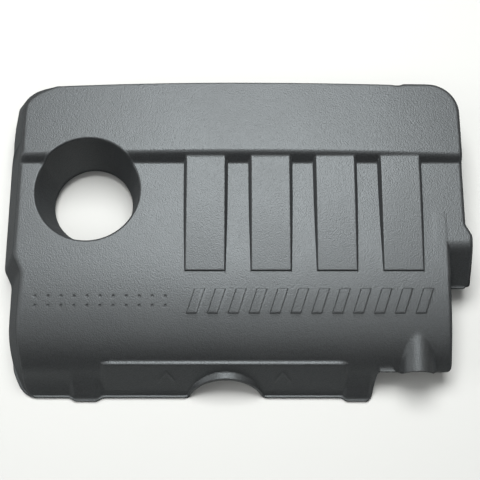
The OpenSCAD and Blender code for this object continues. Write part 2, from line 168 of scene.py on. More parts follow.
# ---- shape of the skin, as a height over the plan ----
def bezier(points, n):
    p = np.array(points, float)
    t = np.linspace(0, 1, n + 1)[:, None]
    s = 1 - t
    return s ** 3 * p[0] + 3 * s * s * t * p[1] + 3 * s * t * t * p[2] + t ** 3 * p[3]


def normals(line):
    """Unit vectors across a line, to the left of its direction."""
    way = np.gradient(line, axis=0)
    way /= np.linalg.norm(way, axis=1)[:, None]
    return np.stack([-way[:, 1], way[:, 0]], 1)


def front_profile(inset):
    """Section through face and skirt, as rows of y and z from the front."""
    line = np.vstack([[STEP_Y + 60, 72.9], [STEP_Y, FACE_H], bezier(ROLL, 90), bezier(FLARE, 24)[1:]])
    if inset:
        line = line + inset * normals(line)
        line = np.vstack([line, line[-1] + [-0.76 * 4, -4.0]])
    else:
        line = np.vstack([line, [FRONT_Y - 30, FLANGE_H]])
    return line[::-1]


PROFILES = (front_profile(0), front_profile(WALL))


def profile_z(y, side):
    line = PROFILES[side]
    return np.interp(y, line[:, 0], line[:, 1])


def skirt_y_at(z):
    line = PROFILES[OUTER]
    return float(np.interp(z, line[:, 1], line[:, 0]))


def smin(a, b, blend):
    h = np.clip(0.5 + 0.5 * (b - a) / blend, 0, 1)
    return b + (a - b) * h - blend * h * (1 - h)


def smax(a, b, blend):
    return -smin(-a, -b, blend)


def smooth(t):
    t = np.clip(t, 0, 1)
    return t * t * (3 - 2 * t)


def deck_z(x):
    return DECK_H - CROWN * (x / HALF_L) ** 2


def rib_top(y):
    run = np.maximum(RIB_BACK_Y - y, 0)
    rise = np.sqrt(RIB_ARC_R * RIB_ARC_R - (run + RIB_ARC_R * math.sin(RIB_TILT)) ** 2)
    return FACE_H + RIB_H - RIB_ARC_R * math.cos(RIB_TILT) + rise


def ear_slope(y):
    return np.maximum(EAR_FOOT_Z + (y - EAR_Y) * EAR_SLOPE, EAR_FOOT_Z)


def add_relief(h, x, y):
    """Bars, dimples and chevrons on the outer skin."""
    v = np.abs(y - BAR_Y)
    for xc in BAR_XS:
        u = np.abs(x - xc - BAR_SHIFT * (y - BAR_Y) / BAR_RISE)
        bar = smooth((BAR_HALF_W - u) / 0.5 + 0.5) * smooth((BAR_HALF_L - v) / 0.5 + 0.5)
        h = h + RELIEF * bar
    for dx, dy in DIMPLES:
        d2 = (x - DIMPLE_X - dx) ** 2 + (y - DIMPLE_Y - dy) ** 2
        h = h - RELIEF * np.maximum(0, 1 - d2 / DIMPLE_R ** 2)
    for cx, cy, half, fall in CHEVRONS:
        u = np.abs(x - cx)
        off = np.abs(y - cy + u * fall / half) * math.cos(math.atan2(fall, half))
        h = h + RELIEF * smooth((1.3 - off) / 0.8) * smooth((half - u) / 0.8)
    return h


def skin_height(x, y, side):
    """Height of the outer or the inner skin."""
    x, y = np.asarray(x, float), np.asarray(y, float)
    e = WALL * side
    # face with the feet of its skirt, step and deck
    foot = np.zeros_like(x)
    for fx, half, ramp in FEET:
        foot = np.maximum(foot, smooth((half + ramp - np.abs(x - fx)) / ramp))
    fade = np.clip((-154 - y) / 20, 0, 1)
    face = profile_z(y + FOOT_OUT * foot * fade, side)
    step = FACE_H + (y - STEP_Y - STEP_FOOT) * STEP_SLOPE - e * STEP_WALL
    h = smin(smax(face, step, blend=1.6), deck_z(x) - e, blend=4.0)
    # apron panel
    back = np.maximum(np.maximum(PANEL_X0 - x, x - PANEL_X1) + e, 0) * 0.425
    panel = (y - (FRONT_Y + PANEL_FOOT) - back - e * 1.2) * PANEL_H / PANEL_RUN
    panel = smin(panel, PANEL_H - e + (y - PANEL_TOP_Y) * 0.14, blend=1.0)
    past_x = np.maximum(np.abs(x - PANEL_MID) - (PANEL_HALF - PANEL_CORNER), 0)
    past_y = np.maximum(y - (PANEL_TOP_Y - PANEL_CORNER), 0)
    corner = np.hypot(past_x, past_y) - PANEL_CORNER + e
    panel = np.where(corner > 0, panel - corner * 0.35, panel)
    h = smax(h, panel, blend=0.7)
    # arch
    dx = x - ARCH_X
    radius = ARCH_R + WALL - e
    tube = ARCH_Z + np.sqrt(np.maximum(radius ** 2 - dx ** 2, 0))
    h = smax(h, np.where(np.abs(dx) < radius, tube, NOWHERE), blend=0.8)
    # ribs
    top = rib_top(y) - e
    front = rib_top(RIB_FRONT_Y) - e + (y - RIB_FRONT_Y - e) / RIB_FRONT_LEAN
    for xc in RIB_XS:
        flank = top + (RIB_HALF - e - np.abs(x - xc)) / RIB_LEAN
        rib = smin(smin(top, flank, blend=1.8), front, blend=1.4)
        h = smax(h, np.where(y > RIB_END_Y, NOWHERE, rib), blend=1.0)
    # pipe hood, and the short lip beside it
    dx = x - HOOD_X
    radius = HOOD_R - e
    tube = HOOD_Z + (y - HOOD_Y) * HOOD_RISE + np.sqrt(np.maximum(radius ** 2 - dx ** 2, 0)) / HOOD_COS
    tube = np.where((np.abs(dx) < radius) & (y > -175) & (y < -60), tube, NOWHERE)
    h = smax(h, tube, blend=1.0)
    if side == OUTER:
        lip = (x > 163) & (x < 181) & (y < -147) & (y > -165)
        h = np.where(lip, smax(h, np.full_like(h, LIP_TOP), blend=0.5), h)
    # ear: a wall with a rounded edge, then the slope in front
    near = (x > 225) & (y < 20) & (y > -80)
    slope = ear_slope(y - 4 * side) - e
    r = EDGE_R[side]
    d = EAR_EDGE_X - e - h * SIDE - x
    rounded = np.where(d >= r, h, h - r + np.sqrt(np.maximum(r * r - np.clip(r - d, 0, r) ** 2, 0)))
    rounded = np.where(d < 0, h - r + d / SIDE, rounded)
    h = np.where(near, smax(smin(h, slope, blend=7.0), rounded, blend=0.8), h)
    return add_relief(h, x, y) if side == OUTER else h


# ---- outline of the walls ----
def arc(cx, cy, r, a0, a1, n):
    a = np.radians(np.linspace(a0, a1, n + 1))
    return [(cx + r * c, cy + r * s) for c, s in zip(np.cos(a), np.sin(a))]


def rear_line(back, x):
    return back - (BOW_RIGHT if x > 0 else BOW_LEFT) * (x / HALF_L) ** 2


def outline(z, e):
    """Points round the plan at height z, set in by e: x, y, lower edge, edge radius, rim, flange."""
    left = -HALF_L + z * LEFT + e
    right = RIGHT_X - z * SIDE - e
    inner = INNER_X - z * SIDE - e
    back = REAR_Y - REAR_ROUND - z * SIDE - e
    front = FRONT_Y + e
    skirt_left = left + 29.5
    out = []

    def add(points, low=0.0, radius=EDGE_R[0], rim=WALL, flange=0.0):
        for x, y in points:
            out.append((x, y, low, radius, rim, flange))

    # front edge with its feet, and the arch between them
    skirt = dict(radius=0.8, rim=6.0)
    add([(skirt_left + 14, front)], **skirt)
    for k, (fx, half, ramp) in enumerate(FEET):
        if k:
            for dx in np.concatenate([[-52, -47, -44.6], np.linspace(-42.6, 42.6, 61), [44.6, 47, 52]]):
                low = max(0.0, ARCH_Z + math.sqrt(max(ARCH_R ** 2 - dx * dx, 0)))
                y = front + (0.5 + z * ARCH_LEAN if abs(dx) < ARCH_R else 0)
                add([(ARCH_X + dx, y)], low, 0.7, 0.05 if abs(dx) < 41.5 else 6.0)
        add([(fx - half - ramp, front), (fx - half, front - FOOT_OUT), (fx + half, front - FOOT_OUT)], **skirt)
        if not k:
            add([(fx + half + ramp, front)], **skirt)
    add([(fx + half + 3.5, front)], **skirt)
    # right end of the skirt, then the cut-away edge with the lip and the mouth of the hood
    for zs in (3.6, 8, 13, 18, 23, 28):
        add([(155 + (zs + 9) / 6 - e, skirt_y_at(zs))], zs, 0.5, 3.0)
    short_y = skirt_y_at(SHORT_H) + e
    edge = dict(low=SHORT_H, radius=0.8, rim=3.2)
    add([(163.4, short_y)], **edge)
    add([(164, -153.5 + e), (180, -153.5 + e)], LIP_LOW, 0.6, 5.0)
    add([(180.6, short_y), (185, short_y)], **edge)
    for dx in np.linspace(-MOUTH_R, MOUTH_R, 33):
        reach = math.sqrt(max(MOUTH_R ** 2 - dx * dx, 0))
        bore = math.sqrt(max(MOUTH_BORE ** 2 - dx * dx, 0))
        low = SHORT_H if bore < 4 else HOOD_Z + HOOD_COS * bore
        y = short_y + (HOOD_Y - 0.09 * HOOD_R + e - short_y) * smooth(reach / 14)
        add([(HOOD_X + dx, float(y))], low, 0.6, 0.05)
    add([(226, short_y), (inner - 5, short_y)], **edge)
    add(arc(inner - 4.5, short_y + 4.5, 4.5, -70, 0, 5), SHORT_H, 1.5)
    # right side with the ear
    add([(inner, -134), (inner, -132.5)], 33.0)
    add([(inner, -121), (inner, EAR_Y + e - 3), (inner, EAR_Y + e)], EAR_LOW)
    add([(inner + 3, EAR_Y + e), (inner + 3.5, EAR_Y - 2.5 + e), (right + 2, EAR_Y - 2.5 + e),
         (right + 2.5, EAR_Y + e)], EAR_LOW, 1.2)
    add([(right + EAR_OUT, EAR_Y + e), (right + EAR_OUT, -5.5), (right, 7.5), (right, 82)], EAR_LOW)
    add([(right, 86.5)], 14.0)
    add([(right, 91.5), (right, 100)])
    # rear right corner, rear edge, rear left corner
    corner_y = rear_line(back, CORNER_X) + CORNER_OUT + REAR_ROUND * (1 - z / 60)
    add(arc(right - CORNER_R + e, corner_y - CORNER_R + e, CORNER_R - e, 0, 90, 12))
    add([(197, corner_y), (CORNER_X, rear_line(back, CORNER_X) + 0.6), (192.6, rear_line(back, 192.6))])
    add([(188, rear_line(back, 188))], STEP_UP_LOW)
    add([(x, rear_line(back, x)) for x in REAR_XS], REAR_LOW, 2.0)
    up = (z - CORNER_ZS[0]) / (CORNER_ZS[1] - CORNER_ZS[0])
    for foot, top in CORNER:
        dx, dy = (a + (c - a) * up for a, c in zip(foot, top))
        add([(left + dx, rear_line(back, -HALF_L) + dy)], 34.8)
    add([(left - (1 - up), 105)], STEP_UP_LOW)
    # left side, which curves in to the skirt and grows a flange
    add([(left, 99.3), (left, -25.5), (left + 1, -29.5), (left + 8.5, -44.5), (left + 9.5, -49.5)])
    for t in np.linspace(0, 1, 9):
        y = -91.5 + (-165.5 + 91.5) * t
        add([(left + 9.5 + 20 * t * t, y)], 0.0, 4.0 - 1.5 * t, WALL, FLANGE_W * smooth((-135 - y) / 15))
    add([(skirt_left + 5, -171.5)], 0.0, 1.6, WALL, FLANGE_W)
    return np.array(out)


def dense_outline(step):
    """The outline as smooth arrays: base, sizes along it, lean per mm of height, and inset per mm."""
    base = outline(0, 0)
    lean = (outline(100, 0) - base)[:, :2] / 100
    inset = (outline(0, 1) - base)[:, :2]
    table = np.hstack([base, lean, inset])
    closed = np.vstack([table, table[:1]])
    rows = []
    for a, c in zip(closed[:-1], closed[1:]):
        n = max(1, int(math.ceil(math.hypot(*(c - a)[:2]) / step)))
        rows.extend(a + (c - a) * i / n for i in range(n))
    rows = np.array(rows)
    # soften the corners with a short kernel along the path
    seg = np.linalg.norm(np.roll(rows[:, :2], -1, 0) - rows[:, :2], axis=1)
    s = np.concatenate([[0], np.cumsum(seg)])[:-1]
    total = seg.sum()
    soft = np.zeros_like(rows)
    weight = np.zeros(len(rows))
    for k in range(-9, 10):
        gap = np.abs(np.roll(s, -k) - s)
        gap = np.minimum(gap, total - gap)
        w = np.exp(-0.5 * (gap / 1.5) ** 2) * np.maximum(np.roll(seg, -k) + np.roll(seg, 1 - k), 0.05)
        soft += np.roll(rows, -k, 0) * w[:, None]
        weight += w
    return soft / weight[:, None]


def wall_rows(path, side):
    """Rings of points from the lower edge up over the rounded edge."""
    base, low, radius, rim = path[:, :2], path[:, 2], path[:, 3], path[:, 4]
    flange, lean, inset = path[:, 5], path[:, 6:8], path[:, 8:10]
    if side == INNER:
        base = base + inset * rim[:, None]
        radius = np.minimum(radius * 0.4, EDGE_R[INNER])

    def at(z, inward):
        return base + lean * z[:, None] + inset * inward[:, None]

    top = np.full(len(base), 60.0)
    for _ in range(6):
        p = at(top, radius)
        top = np.maximum(skin_height(p[:, 0], p[:, 1], side), low + 0.02)
    r = np.minimum(radius, np.maximum(top - low, 0.02))
    flush = np.zeros(len(base))
    if side == INNER:
        start = low
        first = [(low, flush)]
        steps = 4
    else:
        on = flange > 0.1
        start = low + 3.6 * on
        first = [(low, -flange), (low + 2.7 * on, -flange), (low + FLANGE_H * on, 0.8 * on - flange),
                 (start, flush)]
        steps = 8
    rings = []
    for z, inward in first:
        z = np.minimum(z, np.maximum(top - r, low))
        rings.append(np.column_stack([at(z, inward), z]))
    start = np.minimum(start, top - r)
    for t in np.linspace(0, 1, 8)[1:]:
        z = start + (top - r - start) * t
        rings.append(np.column_stack([at(z, flush), z]))
    for a in np.radians(np.linspace(0, 90, steps + 1))[1:]:
        drop, inward = r * (1 - math.sin(a)), r * (1 - math.cos(a))
        z = top - drop
        p = at(z, inward)
        edge = skin_height(p[:, 0], p[:, 1], side) - drop
        z = np.maximum(np.where(r > 0.3, edge, z), low)
        rings.append(np.column_stack([p, z]))
    return rings


# ---- points of the roof's net ----
def inside(polygon, points):
    batch = 4000
    out = np.zeros(len(points), bool)
    ax, ay = polygon.T
    bx, by = np.roll(polygon, -1, 0).T
    for i in range(0, len(points), batch):
        px, py = points[i:i + batch, :1], points[i:i + batch, 1:]
        hit = (ay > py) != (by > py)
        with np.errstate(divide="ignore", invalid="ignore"):
            cross = ax + (py - ay) * (bx - ax) / (by - ay)
        out[i:i + batch] = (hit & (px < cross)).sum(1) % 2 == 1
    return out


def lattice(x0, x1, y0, y1, dx, dy=None):
    dy = dy or dx
    xs = np.linspace(x0, x1, max(2, int(round((x1 - x0) / dx)) + 1))
    ys = np.linspace(y0, y1, max(2, int(round((y1 - y0) / dy)) + 1))
    gx, gy = np.meshgrid(xs, ys)
    return np.column_stack([gx.ravel(), gy.ravel()])


def cell_of(p, size):
    return int(math.floor(p[0] / size)), int(math.floor(p[1] / size))


def cells_near(points, size):
    """The square cells that hold a point, with their neighbours."""
    return {(i + a, j + b) for i, j in (cell_of(p, size) for p in points)
            for a in (-1, 0, 1) for b in (-1, 0, 1)}


def face_points(side):
    """Points for the roof: rows along each feature first, then an even lattice between them."""
    sets = []
    fine = side == OUTER
    e = WALL * side

    def row_x(xs, y):
        sets.append(np.column_stack([xs, np.full_like(xs, y)]))

    def row_y(x, ys):
        sets.append(np.column_stack([np.full_like(ys, x), ys]))

    # step between deck and face
    xs = np.arange(-268, 268, 2.6 if fine else 5.0)
    for d in ((-1.6, -0.8, 0, 0.8, 1.6, 3) if fine else (-1, 0, 1)):
        row_x(xs, STEP_Y + STEP_FOOT + d - 1.1 * side)
    top = STEP_Y + STEP_FOOT + (deck_z(xs) - FACE_H) / STEP_SLOPE
    for d in ((-4, -2.7, -1.4, 0, 1.4, 2.7, 4) if fine else (-3, 0, 3)):
        sets.append(np.column_stack([xs, top + d]))
    # ribs: upper edges, flanks, feet, and front ends
    half = RIB_HALF - e
    along = 1.6 if fine else 4.0
    ys = np.arange(RIB_FRONT_Y - 1, STEP_Y + 9.6, along)
    us = np.arange(-RIB_HALF, RIB_HALF + 0.1, along)
    foot = half + np.maximum(rib_top(ys) - e - profile_z(ys, side), 0.0) * RIB_LEAN
    for xc in RIB_XS:
        for way in (-1, 1):
            for d in ((-1.8, -0.9, -0.3, 0.3) if fine else (-1, 0)):
                row_y(xc + way * (half + d), ys)
            for t in ((0.45, 0.75) if fine else (0.5,)):
                sets.append(np.column_stack([xc + way * (half + (foot - RIB_HALF + e) * t + 0.2), ys]))
            for d in ((-0.3, 0.3, 1.0) if fine else (0, 1)):
                sets.append(np.column_stack([xc + way * (foot + d), ys]))
        for d in ((-1.6, -0.9, -0.4, 0.1, 0.6, 1.4) if fine else (-0.6, 0.6)):
            row_x(xc + us, RIB_FRONT_Y + e + d)
    if fine:
        # slanted bars
        for xc in BAR_XS:
            for grow in (-0.9, -0.3, 0.0, 0.3, 0.9):
                w, l = BAR_HALF_W + grow, BAR_HALF_L + grow
                for v in np.arange(-l, l + 0.01, 1.5):
                    for way in (-1, 1):
                        sets.append([[xc + way * w + BAR_SHIFT * v / BAR_RISE, BAR_Y + v]])
                for u in np.arange(-w + 0.8, w - 0.4, 1.4):
                    for way in (-1, 1):
                        sets.append([[xc + u + way * BAR_SHIFT * l / BAR_RISE, BAR_Y + way * l]])
        # dimples
        for dx, dy in DIMPLES:
            cx, cy = DIMPLE_X + dx, DIMPLE_Y + dy
            sets.append([[cx, cy]])
            for r, n in ((0.7, 8), (1.3, 12), (1.75, 14), (2.2, 14)):
                sets.append(arc(cx, cy, r, 0, 360, n)[:-1])
    # apron: panel edges, arch, feet and the foot of the skirt
    d = 1.25 if fine else 3.0
    sets.append(lattice(-165, 146, -152, -138, 2.2 if fine else 6.0, d))
    for x0, x1 in ((-166, -142), (123, 146)):
        sets.append(lattice(x0, x1, -174, -153, d * 1.1))
    sets.append(lattice(-60, 43, -174, -147, d * 1.1))
    for fx, width, ramp in FEET:
        sets.append(lattice(fx - width - ramp - 1, fx + width + ramp + 1, -180, -156, d * 1.2))
    xs = np.arange(-228, 158, 2.2 if fine else 5.0)
    for y in ((-176.2, -175.6, -175.0, -174.4) if fine else (-172,)):
        row_x(xs, y)
    if fine:
        for cx, cy, width, fall in CHEVRONS:
            for u in np.arange(-width - 1, width + 1.01, 0.8):
                for off in (-2.4, -1.7, -1.0, 0, 1.0, 1.7, 2.4):
                    sets.append([[cx + u, cy + off - abs(u) * fall / width]])
    # pipe hood
    radius = HOOD_R - e
    ys = np.arange(-156, -88, along)
    for u in ((0, 3, 6, 9, 11.5, 13.5, 15.3, 16.8, 18, 18.9, 19.5, 19.9, 20.2, 21) if fine
              else (0, 5, 9, 13, 16, 17.3, 18)):
        for way in (-1, 1):
            row_y(HOOD_X + way * min(u, u * radius / HOOD_R + 0.4), ys)
    # ear
    ys = np.arange(-54, 16, 1.3 if fine else 3.0)
    for d in ((5, 4, 2.8, 1.8, 1.0, 0.5, 0.15, -0.1, -0.4, -0.8, -1.3) if fine else (2, 1, 0.3, -0.3, -1)):
        row_y(EAR_EDGE_X - e - 70.5 * SIDE - d, ys)
    sets.append(lattice(247, 268, -54, 14, *((2.0, 1.3) if fine else (4.0, 3.0))))
    # one point of any that nearly coincide, then the lattice where no feature is near
    apart = 0.16
    first = {}
    for p in np.vstack(sets):
        first.setdefault((int(round(p[0] / apart)), int(round(p[1] / apart))), p)
    features = np.array(list(first.values()))
    cell = 1.15 if fine else 2.0
    near = cells_near(features, cell)
    even = lattice(-268, 268, -180, 182, 2.9 if fine else 7.0)
    return np.vstack([features, [p for p in even if cell_of(p, cell) not in near]])


def well_r(z, out):
    """Radius of the well's funnel at height z, plus out; it stops flaring at the face's height."""
    return WELL_FOOT_R + out + (np.minimum(z, FACE_H) - WELL_FOOT_H) * WELL_LEAN


def well_ring(side, grow):
    """Radius and height at which the funnel meets the roof, found by stepping outwards."""
    r = np.full(len(WELL_ANGLES), 59.0)
    for _ in range(12):
        x, y = WELL[0] + (r + grow) * np.cos(WELL_ANGLES), WELL[1] + (r + grow) * np.sin(WELL_ANGLES)
        z = skin_height(x, y, side)
        r = well_r(z, WALL * side)
    return r, z


# ---- meshes ----
class Weave:
    """Collects points and faces of one mesh."""

    def __init__(self):
        self.points, self.faces = [], []

    def add(self, points):
        start = len(self.points)
        self.points.extend([tuple(p) for p in points])
        return list(range(start, start + len(points)))

    def strip(self, a, b, flip=False):
        for i in range(len(a) - 1):
            quad = (a[i], a[i + 1], b[i + 1], b[i])
            self.faces.append(quad[::-1] if flip else quad)

    def band(self, a, b, flip=False):
        self.strip(a + a[:1], b + b[:1], flip)

    def mesh(self, name, sharp, turn_out=False):
        me = bpy.data.meshes.new(name)
        me.from_pydata([(x * MM, y * MM, z * MM) for x, y, z in self.points], [], self.faces)
        bm = bmesh.new()
        bm.from_mesh(me)
        bmesh.ops.remove_doubles(bm, verts=bm.verts, dist=MERGE)
        if turn_out:
            bmesh.ops.recalc_face_normals(bm, faces=bm.faces)
        bm.to_mesh(me)
        bm.free()
        me.validate()
        me.update()
        me.polygons.foreach_set("use_smooth", [True] * len(me.polygons))
        me.set_sharp_from_angle(angle=math.radians(sharp))
        ob = bpy.data.objects.new(name, me)
        bpy.context.collection.objects.link(ob)
        return ob


def build_roof(weave, rim_ids, well_ids, side):
    """Fill between the top ring of the walls and the well with a dense net."""
    rim = np.array([weave.points[i][:2] for i in rim_ids])
    well = np.array([weave.points[i][:2] for i in well_ids])
    centre = np.array(WELL)
    well_angle = np.arctan2(well[:, 1] - centre[1], well[:, 0] - centre[0])
    well_radius = np.linalg.norm(well - centre, axis=1)
    order = np.argsort(well_angle)

    def well_room(p):
        a = np.arctan2(p[:, 1] - centre[1], p[:, 0] - centre[0])
        edge = np.interp(a, well_angle[order], well_radius[order], period=2 * math.pi)
        return np.linalg.norm(p - centre, axis=1) - edge

    gap = 1.0 if side == OUTER else 2.0
    pts = face_points(side)
    pts = pts[inside(rim, pts)]
    pts = pts[well_room(pts) > gap]
    near = cells_near(rim, gap)
    pts = np.array([p for p in pts if cell_of(p, gap) not in near
                    or min((p[0] - rim[:, 0]) ** 2 + (p[1] - rim[:, 1]) ** 2) > 0.6 ** 2])
    n, m = len(rim), len(well)
    coords = [Vector((float(p[0]), float(p[1]))) for p in np.vstack([rim, well, pts])]
    edges = [(i, (i + 1) % n) for i in range(n)] + [(n + i, n + (i + 1) % m) for i in range(m)]
    verts, _, faces, origin = delaunay_2d_cdt(coords, edges, [], 0, 0.0005)[:4]
    xy = np.array([(v.x, v.y) for v in verts])
    z = skin_height(xy[:, 0], xy[:, 1], side)
    ids = []
    for k, sources in enumerate(origin):
        given = [s for s in sources if s < n + m]
        if not given:
            ids.append(len(weave.points))
            weave.points.append((float(xy[k, 0]), float(xy[k, 1]), float(z[k])))
        elif given[0] < n:
            # the net's own coordinates, so that slivers along the rim count as outside
            rim[given[0]] = xy[k]
            ids.append(rim_ids[given[0]])
        else:
            ids.append(well_ids[given[0] - n])
    tri = np.array([f[:3] for f in faces])
    mid = xy[tri].mean(1)
    keep = inside(rim, mid) & (well_room(mid) > -0.02)
    for t in tri[keep]:
        a, b, c = (ids[i] for i in t)
        if len({a, b, c}) == 3:
            (ux, uy), (vx, vy) = xy[t[1]] - xy[t[0]], xy[t[2]] - xy[t[0]]
            faces_up = ux * vy - uy * vx > 0
            weave.faces.append((a, b, c) if faces_up == (side == OUTER) else (a, c, b))


def cover_shell():
    path = dense_outline(2.0)
    weave = Weave()
    outer, inner = ([weave.add(row) for row in wall_rows(path, side)] for side in (OUTER, INNER))
    for rows, flip in ((outer, False), (inner, True)):
        for a, b in zip(rows[:-1], rows[1:]):
            weave.band(a, b, flip)
    weave.band(outer[0], inner[0], True)
    # the funnel of the well as rings of radius and height: rounded rim, inside, rounded foot, outside
    r, z = well_ring(OUTER, WELL_ROUND)
    lean = (r - WELL_FOOT_R) / (z - WELL_FOOT_H)
    rings = []
    for t in np.radians(np.linspace(0, 90, 8)):
        zz = z - WELL_ROUND * (1 - math.cos(t))
        rings.append((WELL_FOOT_R + (zz - WELL_FOOT_H) * lean + WELL_ROUND * (1 - math.sin(t)), zz))
    for t in np.linspace(0, 1, 13)[1:-1]:
        zz = (z - WELL_ROUND) + (WELL_FOOT_H + WELL_FOOT_ROUND - z + WELL_ROUND) * t
        rings.append((WELL_FOOT_R + (zz - WELL_FOOT_H) * lean, zz))
    foot = np.full(len(r), WELL_FOOT_H)
    for edge_r, way, turns in ((WELL_FOOT_R, 1, (0, 30, 60, 90)), (WELL_FOOT_R + WALL, -1, (90, 60, 30, 0))):
        for t in np.radians(turns):
            rings.append((edge_r + way * WELL_FOOT_ROUND * (1 - math.cos(t)),
                          foot + WELL_FOOT_ROUND * (1 - math.sin(t))))
    r, z = well_ring(INNER, 0.0)
    lean = (r - WELL_FOOT_R - WALL) / (z - WELL_FOOT_H)
    for t in np.linspace(0, 1, 7)[1:]:
        zz = foot + WELL_FOOT_ROUND + (z - foot - WELL_FOOT_ROUND) * t
        rings.append((WELL_FOOT_R + WALL + (zz - WELL_FOOT_H) * lean, zz))
    ca, sa = np.cos(WELL_ANGLES), np.sin(WELL_ANGLES)
    ids = [weave.add(np.column_stack([WELL[0] + rr * ca, WELL[1] + rr * sa, zz])) for rr, zz in rings]
    for a, b in zip(ids[:-1], ids[1:]):
        weave.band(a, b, True)
    build_roof(weave, outer[-1], ids[0], OUTER)
    build_roof(weave, inner[-1], ids[-1], INNER)
    return weave.mesh("cover_shell", sharp=38)


# ---- stiffening webs and mounting towers under the roof ----
def web_heights(x, y):
    """Lower and upper edge of a web, which hangs WEB_DEEP below the inner skin."""
    line = PROFILES[INNER]
    low = line - WEB_DEEP * normals(line)
    low = low[np.concatenate([[True], np.diff(np.maximum.accumulate(low[:, 0])) > 0])]
    drop = np.interp(y, low[:, 0], low[:, 1])
    drop = np.maximum(drop, np.minimum(FACE_H + (y - STEP_Y) - 16.4, deck_z(x) - (WALL + WEB_DEEP)))
    return np.maximum(drop, WEB_LOW), skin_height(x, y, INNER) + SINK


def in_walls(points, z):
    """Whether each point at height z lies within the walls, up to the middle of their thickness."""
    path = dense_outline(4.0)
    slice_h = 6.0
    ok = np.zeros(len(points), bool)
    for level in np.arange(WEB_LOW, 84, slice_h):
        ring = path[:, :2] + path[:, 6:8] * (level + slice_h) + path[:, 8:10] * (WALL - 1.2)
        here = (z >= level) & (z < level + slice_h)
        ok[here] = inside(ring, points[here])
    return ok


def cover_webs():
    weave = Weave()

    def web(points, across):
        """A wall along the points, left out where it is too low, past the walls or in the well."""
        bottom, top = web_heights(points[:, 0], points[:, 1])
        from_well = np.hypot(points[:, 0] - WELL[0], points[:, 1] - WELL[1])
        clear = from_well >= well_r(0.5 * (bottom + top), 1.4)
        use = (top - bottom > 0.8) & in_walls(points, top) & clear
        for run in np.split(np.arange(len(use)), np.flatnonzero(np.diff(use)) + 1):
            if not use[run[0]] or len(run) < 2:
                continue
            sides = []
            for way in (-1, 1):
                for z, inset in ((top[run], 0), (bottom[run] + 0.4, 0), (bottom[run], 0.35)):
                    edge = points[run] + way * across - way * across * inset
                    sides.append(weave.add(np.column_stack([edge, z])))
            loop = sides[:3] + sides[:2:-1]
            for a, b in zip(loop, loop[1:] + loop[:1]):
                weave.strip(a, b)
            weave.faces.append([s[0] for s in loop])
            weave.faces.append([s[-1] for s in loop[::-1]])

    for x in range(-3 * WEB_PITCH, 3 * WEB_PITCH + 1, WEB_PITCH):
        y = np.arange(-176, 181, 1.0)
        web(np.column_stack([np.full_like(y, x), y]), np.array([1.0, 0]))
    for y in range(-2 * WEB_PITCH, 2 * WEB_PITCH + 1, WEB_PITCH):
        x = np.arange(-262, 268, 1.0)
        web(np.column_stack([x, np.full_like(x, y)]), np.array([0, 1.0]))
    return weave.mesh("cover_webs", sharp=30, turn_out=True)


def cover_towers():
    weave = Weave()
    for tx, ty, turn, plate in TOWERS:
        c, s = math.cos(math.radians(turn)), math.sin(math.radians(turn))

        def place(points):
            x, y = np.array(points).T
            return np.column_stack([tx + c * x - s * y, ty + s * x + c * y])

        def level(points, z):
            return weave.add(np.column_stack([points, np.full(len(points), z)]))

        # wall, open to one side
        outer = [(TOWER_REACH, TOWER_R), *arc(0, 0, TOWER_R, 90, 270, 24), (TOWER_REACH, -TOWER_R)]
        inner = [(TOWER_REACH, -TOWER_BORE), *arc(0, 0, TOWER_BORE, 270, 90, 24), (TOWER_REACH, TOWER_BORE)]
        loop = place(outer + inner)
        low = level(loop, plate)
        high = level(loop, skin_height(loop[:, 0], loop[:, 1], INNER) + SINK)
        weave.band(low, high, True)
        n = len(outer)
        weave.strip(low[:n], low[n:][::-1], True)
        weave.strip(high[:n], high[n:][::-1])
        # keyhole plate
        start = math.degrees(math.asin(KEY_MOUTH / KEY_R))
        rim_r = TOWER_R - 0.2
        key = place([(TOWER_REACH, KEY_MOUTH), *arc(0, 0, KEY_R, start, 360 - start, 40),
                     (TOWER_REACH, -KEY_MOUTH)])
        rim = place([(TOWER_REACH, rim_r), *arc(0, 0, rim_r, 90, 270, 40), (TOWER_REACH, -rim_r)])
        key_low, key_high = level(key, plate), level(key, plate + PLATE_T)
        rim_low, rim_high = level(rim, plate + 0.05), level(rim, plate + PLATE_T - 0.05)
        weave.strip(key_low, rim_low)
        weave.strip(key_high, rim_high, True)
        weave.strip(key_low, key_high, True)
        weave.strip(rim_low, rim_high)
        for end in (0, -1):
            weave.faces.append([key_low[end], rim_low[end], rim_high[end], key_high[end]])
    return weave.mesh("cover_towers", sharp=30, turn_out=True)


shell = cover_shell()
webs = cover_webs()
towers = cover_towers()
for piece in (shell, webs, towers):
    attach(piece, "root")
    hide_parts("cover")


# ---- shared effects, with lengths in metres ----
def group(name, inputs, outputs):
    """A node group whose sockets are all numbers."""
    tree = bpy.data.node_groups.new(name, "ShaderNodeTree")
    for label, value in inputs.items():
        socket = tree.interface.new_socket(name=label, in_out="INPUT", socket_type="NodeSocketFloat")
        socket.default_value = value
    for label in outputs:
        tree.interface.new_socket(name=label, in_out="OUTPUT", socket_type="NodeSocketFloat")
    return tree, tree.nodes.new("NodeGroupInput"), tree.nodes.new("NodeGroupOutput")


def feed(tree, pin, value):
    """Link a socket into an input, or set the input to a value."""
    if isinstance(value, bpy.types.NodeSocket):
        tree.links.new(value, pin)
    else:
        pin.default_value = value


def math_node(tree, how, a, b, clamp=False):
    n = tree.nodes.new("ShaderNodeMath")
    n.operation = how
    n.use_clamp = clamp
    feed(tree, n.inputs[0], a)
    feed(tree, n.inputs[1], b)
    return n.outputs[0]


def noise(tree, vector, scale, detail, rough):
    n = tree.nodes.new("ShaderNodeTexNoise")
    for label, value in (("Vector", vector), ("Scale", scale), ("Detail", detail), ("Roughness", rough)):
        feed(tree, n.inputs[label], value)
    return n.outputs["Fac"]


